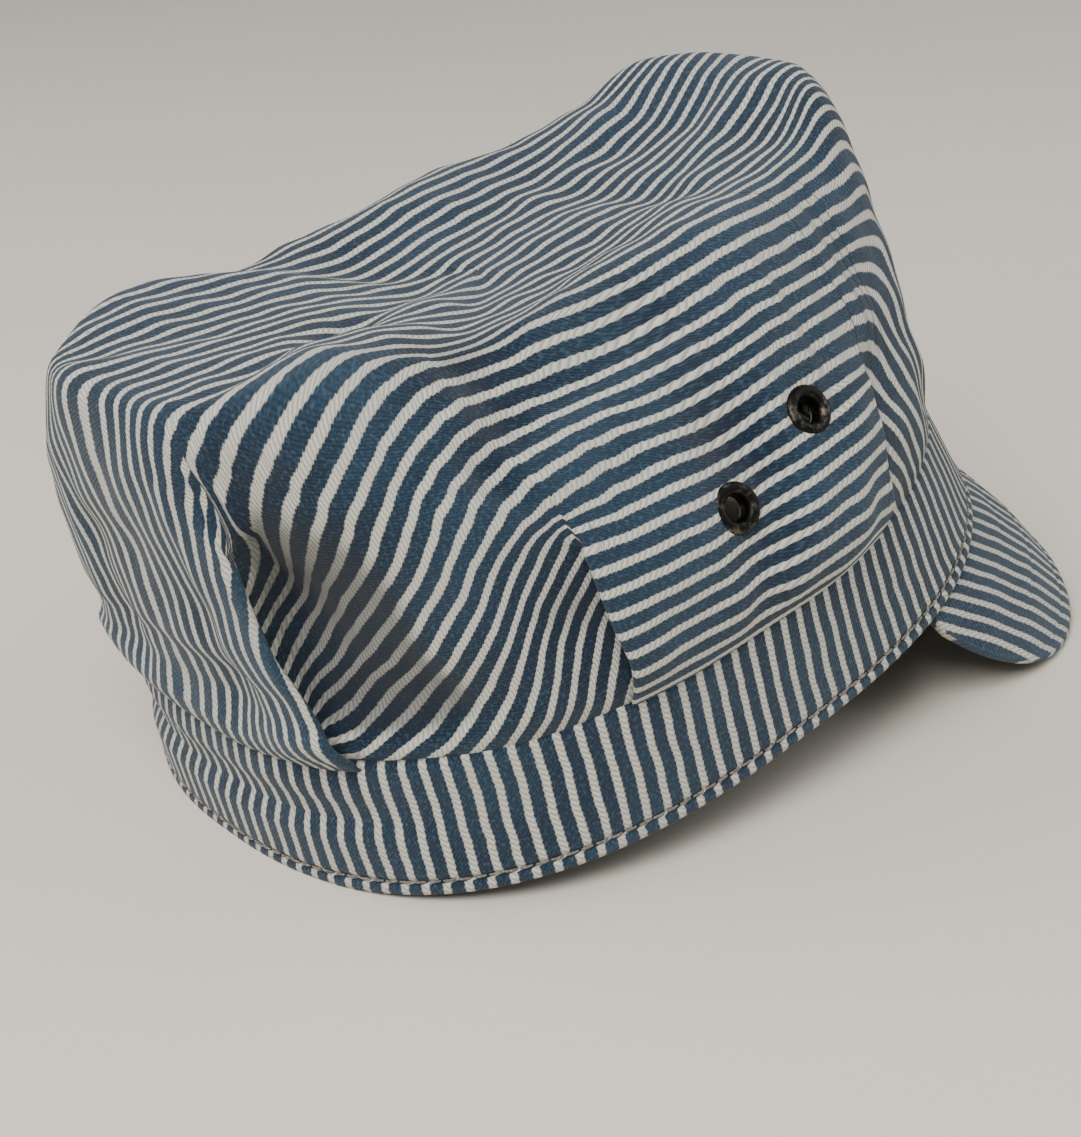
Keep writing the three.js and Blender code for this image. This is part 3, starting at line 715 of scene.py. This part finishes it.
def crown_mesh():
    """Outer wall from the seam to the middle of the top, and a coarser inner wall, closed at the
    seam and in the two middles. The outer wall starts a little below and inside the band's upper
    edge. The points lie in rings: the outer wall's up, then the inner wall's down."""
    turn, owner, row = half_columns()
    side = whole_round(np.ones_like(turn), -1)
    turn, owner, row = (whole_round(v) for v in (turn, owner, row))
    side[turn >= 180.0] = 1.0
    count = len(turn)
    fine = np.linspace(0, LAST_SECTION - 0.04, 400)
    at = [crown_point(np.full_like(fine, a), fine) for a in (5.0, 90.0, 175.0)]
    length = np.mean([np.concatenate([[0], np.cumsum(np.linalg.norm(np.diff(p, axis=0), axis=1))])
                      for p in at], axis=0)
    outer_at, inner_at = (np.interp(np.linspace(0, length[-1], rings), length, fine)
                          for rings in (OUTER_RINGS, INNER_RINGS))

    def joined(outer, inner):
        """Values of both walls in the order of the rings, with one more ring at both seams."""
        return np.concatenate([outer[:1], outer, inner[::-1], inner[:1]])

    outer, off, plan = crown_cloth(turn, side, owner, row, outer_at, False)
    inner, _, plan_in = crown_cloth(turn, side, owner, row, inner_at, True)
    points = joined(outer, inner)
    points[0] -= TUCKED_IN * crown_out(turn * side, np.zeros(count))
    points[[0, -1], :, 2] -= TUCKED_DOWN
    across, along = (joined(*walls) for walls in zip(stripe_ways(turn, owner, row, outer_at),
                                                     stripe_ways(turn, owner, row, inner_at)))
    across = across * side
    along[0] += TUCKED_IN
    # Over the top the stripes follow the cloth's plan
    over = joined(outer_at, inner_at)[:, None] > RIM_SECTION
    plan = joined(plan, plan_in)
    across = np.where(over, TOP_SPREAD * plan[..., 0], across)
    along = np.where(over, plan[..., 1], along)
    # The cloth rubs pale where it stands out; where it lies deep in a fold the same values bring in
    # painted shade
    high = joined(off, np.zeros((INNER_RINGS, count)))
    high[0] = 0.0
    wear_and_shade = np.clip(high / WEAR_AND_SHADE_HEIGHT, -1.0, 1.0) * 0.5 + 0.5
    flat = settle(points.reshape(-1, 3), CENTRE)
    # The walls are one band of rings from the inner middle round the seam to the outer middle,
    # and a fan of triangles closes each middle
    top, low = OUTER_RINGS, OUTER_RINGS + 1
    faces = [ring_faces(np.r_[low:len(points), 0:low], count)]
    ring = np.arange(count)
    after = (ring + 1) % count
    faces.append(np.stack([top * count + ring, top * count + after, np.full(count, len(flat))], -1))
    faces.append(np.stack([low * count + after, low * count + ring, np.full(count, len(flat) + 1)], -1))
    middles = [flat[k * count:(k + 1) * count].mean(0) for k in (top, low)]
    cloth = np.concatenate([np.stack([across, along], -1).reshape(-1, 2), np.zeros((2, 2))])
    return np.concatenate([flat, middles]), faces, cloth, np.append(wear_and_shade, [0.5, 0.5])


# Band

# The band in profile, from its turned-in upper edge down the face, round the hem and up inside:
# level, way out from the face in millimetres
BAND_PROFILE = [
    (1.03, -1.9), (1.035, -1.0), (1.02, -0.35), (0.995, -0.05), (0.96, 0.12), (0.9, 0.05),
    (0.83, 0.0), (0.76, 0.0), (0.69, 0.0), (0.62, 0.0), (0.56, 0.0), (0.5, 0.0), (0.44, 0.0),
    (0.38, 0.0), (0.32, 0.0), (0.26, 0.0), (0.21, 0.05), (0.17, 0.12), (0.145, 0.0), (0.125, -0.45),
    (0.11, -0.5), (0.095, -0.1), (0.07, 0.25), (0.04, 0.25), (0.012, -0.1), (0.0, -0.7),
    (0.0, -1.5), (0.02, -2.2), (0.1, -2.4), (0.3, -2.4), (0.55, -2.4), (0.8, -2.4), (1.0, -2.4),
]
# The hem's stitches: level, way out from the face, pitch and radius of the thread
STITCH_LEVEL, STITCH_SINK, STITCH_PITCH, STITCH_RADIUS = 0.118, -0.2, 3.1, 0.3
# Folds pressed into the band behind: level, height as a share of BAND_FOLD_DEPTH
BAND_FOLDS = np.array([(0.0, 0.0), (0.12, 0.1), (0.36, 0.6), (0.47, 0.7), (0.54, -0.8), (0.68, -0.4),
                       (0.82, 0.6), (1.0, 0.0)])
BAND_COLUMNS = 480
# How far the band's stripes are shifted, the folds' first angle and the angle over which they grow
STRIPE_SHIFT, FOLDS_FROM, FOLDS_GROW = 0.8, 135.0, 25.0


def hem_length(angle):
    """Way along the hem from the front to each angle, positive on both sides."""
    fine = np.linspace(0, 180, 721)
    steps = np.linalg.norm(np.diff(band_point(fine, 0.0), axis=0), axis=1)
    return np.interp(np.abs(angle), fine, np.concatenate([[0], np.cumsum(steps)]))


# The stripes meet where the band is joined at the back
HEM_LENGTH = STRIPE_PITCH * round(2.0 * float(hem_length(180.0)) / STRIPE_PITCH)


def band_surface(angle, rise, out):
    """Point of the band set out from its face, with the creases pressed in behind the back
    pleats: fold depth * curve of the level * ease of the angle past FOLDS_FROM."""
    around = band_point(angle + 0.5, rise) - band_point(angle - 0.5, rise)
    level_out = unit(np.cross(around, np.array([0.0, 0.0, 1.0])))
    behind = ease((np.abs(angle) - FOLDS_FROM) / FOLDS_GROW)
    off = BAND_FOLD_DEPTH * curve(rise, BAND_FOLDS[:, 0], BAND_FOLDS[:, 1]) * behind + out
    point = band_point(angle, rise)
    uneven = wrinkles(point * np.array([1, 1, 0.5]), 21, 22.0, 7)
    off = off + 0.22 * uneven * np.sin(np.pi * np.clip(rise, 0, 1))
    return point + level_out * off[..., None]


def band_mesh():
    """The band's profile carried round the hem. Inside the hem the stripes are out of step."""
    angle = np.linspace(-180, 180, BAND_COLUMNS, endpoint=False)[None, :]
    rise, out = np.array(BAND_PROFILE).T[..., None]
    points = band_surface(angle, rise, out)
    faces = ring_faces(np.r_[0:len(rise), 0], BAND_COLUMNS)[:, ::-1]
    way = hem_length(angle) * np.where(angle < 0, -1.0, 1.0)
    way = way * HEM_LENGTH / (2.0 * hem_length(180.0)) + STRIPE_SHIFT
    facing = np.where(rise < 0.1, 0.45 * STRIPE_PITCH, 0.0)
    cloth = np.stack(np.broadcast_arrays(way + facing, BAND_HEIGHT * rise), -1)
    # Pale where the band stands out from its face; where it lies back, on the turned-in edge, round the
    # hem and inside, painted shade
    wear_and_shade = np.clip(0.5 + out * 0.6, 0.0, 1.0) * np.ones_like(angle)
    return settle(points.reshape(-1, 3), CENTRE), [faces], cloth.reshape(-1, 2), wear_and_shade.ravel()


# Threads

def thread_mesh(path_of, length, pitch, radius, sides=6, rings=5):
    """Stitches laid along a path: path_of(way) gives points and outward directions. Each stitch
    is a tube of the given radius, rounded at its ends and bowed outward by half its radius."""
    count = int(length / pitch)
    begin = np.arange(count)[:, None] * length / count
    t = np.linspace(0.0, 1.0, rings)[None, :]
    way = begin + (0.06 + 0.8 * t) * length / count
    centre, out = path_of(way)
    ahead, _ = path_of(way + 0.2)
    along = unit(ahead - centre)
    aside = np.cross(along, out)
    girth = radius * (0.35 + 0.65 * np.sin(np.pi * (0.08 + 0.84 * t)) ** 0.5)
    centre = centre + out * (radius * 0.5 * np.sin(np.pi * t))[..., None]
    turn = np.linspace(0, 2 * np.pi, sides, endpoint=False)
    ring = (centre[:, :, None] + girth[..., None, None]
            * (out[:, :, None] * np.cos(turn)[:, None] + aside[:, :, None] * np.sin(turn)[:, None]))
    points = ring.reshape(-1, 3)
    i = np.arange(sides)
    each = (np.arange(count) * rings * sides)[:, None, None]
    quads = (each + ring_faces(np.arange(rings), sides)).reshape(-1, 4)[:, ::-1]
    first = each[:, 0] + i
    last = each[:, 0] + (rings - 1) * sides + i[::-1]
    return settle(points, CENTRE), [quads, first, last]


def hem_thread(way):
    """Point and outward direction at a way along the hem, at the level of its stitches."""
    def line(angle, out):
        """Points at STITCH_LEVEL, set out from the face."""
        return band_surface(angle, np.full_like(angle, STITCH_LEVEL), np.full_like(angle, out))

    fine = np.linspace(-180, 180, 1441)
    steps = np.linalg.norm(np.diff(line(fine, STITCH_SINK), axis=0), axis=1)
    lengths = np.concatenate([[0], np.cumsum(steps)])
    angle = np.interp(way % lengths[-1], lengths, fine)
    point = line(angle, STITCH_SINK)
    around = line(angle + 0.5, 0.0) - point
    return point, unit(np.cross(around, np.array([0.0, 0.0, 1.0])))


# Visor

VISOR_ROWS, VISOR_COLUMNS, VISOR_UNDER = 40, 240, 14
# Rows of the stitching as shares of the width, and the fan of the stripes in the flat cloth
VISOR_STITCHED = (0.34, 0.62, 0.9)
VISOR_CUT_FAN = 33.0


def visor_mesh():
    """Upper face, rounded edge and underside of the visor as one closed profile that is carried
    along the hem: s runs out over the top, round the edge and back underneath."""
    u = visor_columns(VISOR_COLUMNS)[None, :]
    s = np.concatenate([np.linspace(0, 0.975, VISOR_ROWS), [0.992, 1.0, 1.0, 0.992],
                        np.linspace(0.975, 0, VISOR_UNDER)])[:, None]
    depth = np.concatenate([np.zeros(VISOR_ROWS), [0.25, 0.8, 1.8, 2.35],
                            np.full(VISOR_UNDER, VISOR_WALL)])[:, None]
    top = np.arange(len(s))[:, None] < VISOR_ROWS
    stitched = sum(bell((s - place) / 0.012) for place in VISOR_STITCHED)
    point = visor_point(u, s)
    uneven = 0.22 * wrinkles(point, 31, 18.0, 7) * np.sin(np.pi * s)
    lift = np.where(top, -0.3 * stitched * (1 - np.abs(u) ** 6) + uneven, 0.0)
    points = point + visor_normal(u, s) * (lift - depth)[..., None]
    rows = len(s)
    first = np.arange(rows)[None, :] * VISOR_COLUMNS
    last, k = (rows - 1) * VISOR_COLUMNS, np.arange(VISOR_COLUMNS - 1)
    root = np.stack([last + k, last + k + 1, k + 1, k], -1)
    faces = [sheet_faces(rows, VISOR_COLUMNS), root, first, first[:, ::-1] + VISOR_COLUMNS - 1]
    # The stripes in the cloth as it was cut: its hem edge bends by the fan and the rest runs on
    fan = np.radians(VISOR_CUT_FAN)
    flat_u = np.linspace(0, 1, 400)
    steps = np.diff(hem_length(VISOR_END * flat_u)) * np.cos(fan * (flat_u[1:] + flat_u[:-1]) / 2)
    flat_x = np.concatenate([[0], np.cumsum(steps)])
    width = visor_width(u)
    across = np.sign(u) * np.interp(np.abs(u), flat_u, flat_x) + width * s * np.sin(fan * u)
    along = -width * s * np.cos(fan * u) - 6.0 * u * u
    cloth = np.stack([across + np.where(top, 0.0, 1.4), along], -1)
    wear_and_shade = 0.5 + 0.5 * np.clip(1.0 - width * (1.0 - s) / 2.5, 0.0, 1.0)
    return settle(points.reshape(-1, 3), CENTRE), faces, cloth.reshape(-1, 2), wear_and_shade.ravel()


# Eyelets

def eyelet_mesh(point, out, sides=48):
    """A turned profile about the seat's outward direction: rolled lip, bore with its inner bead,
    tube through the cloth and flange clinched inside."""
    lip = EYELET_LIP
    profile = np.array([
        (EYELET_BORE, -0.3), (EYELET_BORE + 0.05, 0.2 * lip), (EYELET_BORE + 0.25, 0.55 * lip),
        (EYELET_BORE + 0.6, 0.86 * lip), (EYELET_BORE + 1.0, lip), (EYELET_RADIUS - 1.1, 0.98 * lip),
        (EYELET_RADIUS - 0.75, 0.92 * lip), (EYELET_RADIUS - 0.4, 0.74 * lip),
        (EYELET_RADIUS - 0.12, 0.48 * lip), (EYELET_RADIUS, 0.2 * lip), (EYELET_RADIUS - 0.1, 0.0),
        (EYELET_RADIUS - 0.5, -0.12), (3.3, -0.15), (3.3, -2.4), (EYELET_BACK, -2.4),
        (EYELET_BACK - 0.1, -2.8), (EYELET_BORE + 0.3, -2.85), (EYELET_BORE, -2.5),
    ])
    turn = np.linspace(0, 2 * np.pi, sides, endpoint=False)
    aside = unit(np.cross(out, np.array([0.0, 0.0, 1.0])))
    up = np.cross(aside, out)
    spoke = aside * np.cos(turn)[:, None] + up * np.sin(turn)[:, None]
    points = point + profile[:, :1, None] * spoke + profile[:, 1:, None] * out + SEAM_GAP * out
    return settle(points.reshape(-1, 3), CENTRE), [ring_faces(np.r_[0:len(profile), 0], sides)]


def cut_eyelet_holes(piece, radius=3.2, half_length=9.0, sides=32):
    """Cuts a round hole through both walls of the crown at each eyelet's seat, with a prism of
    radius * (cos, sin) drawn along the seat's outward direction."""
    turn = np.linspace(0, 2 * np.pi, sides, endpoint=False)
    i = np.arange(sides)
    j = (i + 1) % sides
    points, faces = [], []
    for k, (point, out) in enumerate(SEATS.values()):
        aside = unit(np.cross(out, np.array([0.0, 0.0, 1.0])))
        spoke = radius * (aside * np.cos(turn)[:, None] + np.cross(aside, out) * np.sin(turn)[:, None])
        points += [point - half_length * out + spoke, point + half_length * out + spoke]
        low = 2 * k * sides
        faces += np.stack([low + i, low + sides + i, low + sides + j, low + j], -1).tolist()
        faces += [(low + i).tolist(), (low + sides + i[::-1]).tolist()]
    mesh = bpy.data.meshes.new("eyelet_cutter")
    mesh.from_pydata((settle(np.concatenate(points), CENTRE) * METRES).tolist(), [], faces)
    cutter = bpy.data.objects.new("eyelet_cutter", mesh)
    bpy.context.scene.collection.objects.link(cutter)
    holes = piece.modifiers.new("holes", "BOOLEAN")
    holes.operation, holes.solver, holes.object = "DIFFERENCE", "EXACT", cutter
    cut = bpy.data.meshes.new_from_object(piece.evaluated_get(bpy.context.evaluated_depsgraph_get()))
    piece.modifiers.clear()
    piece.data = cut
    bpy.data.objects.remove(cutter)


# Finishes

class Value:
    """A number socket of a finish: sums, products and the rest add Math nodes."""

    def __init__(self, finish, socket):
        self.finish, self.socket = finish, socket

    def math(self, operation, *others):
        """The operation on this number and the others."""
        node = self.finish.add("ShaderNodeMath", {"operation": operation},
                               dict(enumerate((self, *others))))
        return Value(self.finish, node.outputs[0])

    def __add__(self, other):
        return self.math("ADD", other)

    def __mul__(self, other):
        return self.math("MULTIPLY", other)

    __radd__, __rmul__ = __add__, __mul__

    def __sub__(self, other):
        return self.math("SUBTRACT", other)

    def __rsub__(self, other):
        return self.math("MULTIPLY_ADD", -1.0, other)

    def __truediv__(self, other):
        return self.math("DIVIDE", other)

    def smooth(self, low, high):
        """0 below low, 1 above high, eased between; low may be the greater."""
        node = self.finish.add("ShaderNodeMapRange", {"interpolation_type": "SMOOTHSTEP"},
                               {"Value": self, "From Min": low, "From Max": high})
        return Value(self.finish, node.outputs[0])


class Finish:
    """A material built from its shader outward."""

    def __init__(self, name, **constants):
        self.material = bpy.data.materials.new(name)
        self.material.use_nodes = True
        self.tree = self.material.node_tree
        self.shader = self.tree.nodes["Principled BSDF"]
        for key, value in constants.items():
            self.shader.inputs[key.replace("_", " ")].default_value = value

    def add(self, kind, settings=None, sockets=None):
        """A node of a kind, with its settings, then its sockets' values or links."""
        node = self.tree.nodes.new(kind)
        for key, value in (settings or {}).items():
            setattr(node, key, value)
        for key, value in (sockets or {}).items():
            value = getattr(value, "socket", value)
            if isinstance(value, bpy.types.NodeSocket):
                self.tree.links.new(value, node.inputs[key])
            else:
                node.inputs[key].default_value = value
        return node

    def value(self, kind, settings=None, sockets=None, output=0):
        """One output of a new node as a number."""
        return Value(self, self.add(kind, settings, sockets).outputs[output])

    def blend(self, low, high, factor):
        """Colour between low and high."""
        sides = {0: factor, 6: low if not isinstance(low, tuple) else (*low, 1.0),
                 7: high if not isinstance(high, tuple) else (*high, 1.0)}
        return self.add("ShaderNodeMix", {"data_type": "RGBA"}, sides).outputs[2]

    def noise(self, vector, scale, detail=2.0, roughness=0.5):
        """Noise from 0 to 1 at a place times scale."""
        return self.value("ShaderNodeTexNoise", {}, {"Vector": vector, "Scale": scale,
                                                     "Detail": detail, "Roughness": roughness})

    def vector(self, x, y, z=0.0):
        """A place from three numbers."""
        return self.add("ShaderNodeCombineXYZ", {}, {0: x, 1: y, 2: z}).outputs[0]

    def finish(self, colour, roughness, height=None):
        """Links what varies: colour, roughness and, through a bump, the relief in millimetres."""
        links = {"Base Color": colour, "Roughness": roughness}
        if height is not None:
            bump = self.add("ShaderNodeBump", {}, {"Strength": 1.0, "Distance": METRES, "Height": height})
            links["Normal"] = bump.outputs[0]
        for key, value in links.items():
            self.tree.links.new(getattr(value, "socket", value), self.shader.inputs[key])
        return self.material


def striped_denim(name, fade, grime):
    """Hickory stripe: indigo twill with pale specks, and cream stripes like twisted rope whose
    edges step with the weave. All of it follows the map named cloth, in millimetres."""
    f = Finish(name, Sheen_Weight=0.12, Sheen_Roughness=0.6, Specular_IOR_Level=0.2)
    place = f.add("ShaderNodeUVMap", {"uv_map": "cloth"}).outputs[0]
    axes = f.add("ShaderNodeSeparateXYZ", {}, {0: place})
    across, along = (Value(f, axes.outputs[k]) * MAP_UNIT for k in range(2))
    room = f.add("ShaderNodeTexCoord").outputs["Object"]
    wander = f.noise(f.vector(across * 0.05, along * 0.12), 1.0, 3.0) - 0.5
    across = across + wander * 1.3
    from_middle = ((across / STRIPE_PITCH + 0.5).math("FRACT") - 0.5).math("ABSOLUTE") * STRIPE_PITCH
    # Rope twist of the stripe: strands slant across it
    strand = ((along + across * 0.8) * (2 * np.pi / STRAND_PITCH)).math("SINE")
    fuzz = f.noise(f.vector(across * 2.2, along * 2.2), 1.0, 2.0) - 0.5
    edge = from_middle + strand * 0.1 + fuzz * 0.3
    stripe = edge.smooth(STRIPE_HALF + STRIPE_BLUR, STRIPE_HALF - STRIPE_BLUR)
    # Twill of the indigo ground and its pale specks
    twill = ((along * 0.9 - across) * (2 * np.pi / TWILL_PITCH)).math("SINE")
    specks = f.noise(f.vector(across * 1.5, along * 1.1), 1.0, 3.0, 0.65)
    cloud = f.noise(room, 34.0, 3.0, 0.55)
    # Above one half this attribute is real wear that pales the cloth; below it, it marks where painted
    # shade goes
    wear_and_shade = f.value("ShaderNodeAttribute", {"attribute_name": "wear_and_shade"}, {}, 2)
    pale = specks.smooth(0.46, 0.72) * 0.7 + twill * 0.1 + (cloud - 0.5) * 0.7 + fade
    pale = pale + (wear_and_shade - 0.5) * 0.5
    pale = pale.math("MAXIMUM", 0.0).math("MINIMUM", 1.0)
    indigo = f.blend((0.0055, 0.015, 0.031), (0.042, 0.088, 0.135), pale)
    rope = strand.smooth(-1.0, 0.2) * 0.75 + fuzz.smooth(-0.3, 0.3) * 0.25
    cream = f.blend((0.30, 0.31, 0.29), (0.66, 0.645, 0.56), rope)
    cream = f.blend(cream, (0.42, 0.41, 0.36), cloud.smooth(0.42, 0.75) * grime)
    colour = f.blend(indigo, cream, stripe)
    # Deep in a fold, round the hem and inside the band the colour is blended toward near black: painted
    # shade
    colour = f.blend((0.012, 0.018, 0.026), colour, wear_and_shade.smooth(0.0, 0.24) * 0.6 + 0.4)
    relief = (stripe * (0.22 + strand * 0.07) + (1.0 - stripe) * (twill * 0.035 + specks * 0.12)
              + fuzz * 0.07)
    return f.finish(colour, 0.96 - stripe * 0.08 - (1.0 - specks) * 0.04, relief)


def dark_brass():
    """Blackened brass, rubbed to grey brass in patches."""
    f = Finish("dark_brass", Metallic=0.9)
    room = f.add("ShaderNodeTexCoord").outputs["Object"]
    smear = f.noise(room, 420.0, 4.0, 0.6)
    grain = f.noise(room, 2600.0, 2.0)
    rub = (smear * 0.8 + grain * 0.25).smooth(0.52, 0.72)
    colour = f.blend((0.012, 0.012, 0.011), (0.16, 0.14, 0.105), rub * 0.8)
    return f.finish(colour, 0.3 + smear * 0.3, smear * 0.04 + grain * 0.03)


def thread_finish(name, dark, light):
    """Twisted sewing thread."""
    f = Finish(name, Sheen_Weight=0.2)
    room = f.add("ShaderNodeTexCoord").outputs["Object"]
    ply = f.noise(room, 1500.0, 2.0)
    return f.finish(f.blend(dark, light, ply.smooth(0.3, 0.7)), 0.75 + ply * 0.2, ply * 0.1)


# The cap

crown_denim = striped_denim("crown_denim", 0.16, 0.35)
band_denim = striped_denim("band_denim", 0.14, 0.5)
visor_denim = striped_denim("visor_denim", 0.3, 0.6)
taupe_thread = thread_finish("taupe_thread", (0.10, 0.085, 0.07), (0.27, 0.24, 0.2))
brass = dark_brass()

crown = add_piece("crown_cloth", "crown", "crown_denim", crown_denim, *crown_mesh())
cut_eyelet_holes(crown)
add_piece("band_cloth", "band", "band_denim", band_denim, *band_mesh(), HEM_LENGTH)
add_piece("visor_cloth", "visor", "visor_denim", visor_denim, *visor_mesh())
thread = thread_mesh(hem_thread, 2.0 * float(hem_length(180.0)), STITCH_PITCH, STITCH_RADIUS)
add_piece("hem_stitches", None, "band_denim", taupe_thread, *thread)
for node, (seat, out) in SEATS.items():
    add_piece(f"{node}_ring", node, "dark_brass", brass, *eyelet_mesh(seat, out))


# Studio

def add_area(name, place, target, size, watts, colour=(1.0, 1.0, 1.0)):
    """A square soft light at a place in metres, facing a target."""
    data = bpy.data.lights.new(name, "AREA")
    data.size, data.energy, data.color = size, watts, colour
    light = bpy.data.objects.new(name, data)
    light.location = place
    light.rotation_euler = (Vector(target) - Vector(place)).to_track_quat("-Z", "Y").to_euler()
    bpy.context.scene.collection.objects.link(light)


def add_floor():
    """A pale plain floor, flat where the cap lies."""
    mesh = bpy.data.meshes.new("floor")
    corners = [(x, y, 0) for x, y in ((-3, -3), (3, -3), (3, 3), (-3, 3))]
    mesh.from_pydata(corners, [], [(0, 1, 2, 3)])
    floor = bpy.data.objects.new("floor", mesh)
    bpy.context.scene.collection.objects.link(floor)
    f = Finish("floor_paper", Specular_IOR_Level=0.2)
    room = f.add("ShaderNodeTexCoord").outputs["Object"]
    grain = f.noise(room, 6.0, 3.0)
    colour = f.blend((0.76, 0.71, 0.62), (0.82, 0.77, 0.68), grain)
    mesh.materials.append(f.finish(colour, 0.85 + grain * 0.05))


add_floor()
middle = (0.0, 0.0, 0.06)
add_area("key", (-0.55, 0.75, 1.1), middle, 0.8, 20.0, (1.0, 0.98, 0.95))
add_area("fill", (-0.6, -0.9, 0.7), middle, 1.0, 5.0, (0.95, 0.97, 1.0))
add_area("back", (0.8, 0.6, 0.9), middle, 0.9, 6.0)
world = bpy.data.worlds.new("studio")
world.use_nodes = True
sky = world.node_tree.nodes["Background"]
sky.inputs["Color"].default_value = (0.85, 0.84, 0.82, 1.0)
sky.inputs["Strength"].default_value = 0.42
bpy.context.scene.world = world
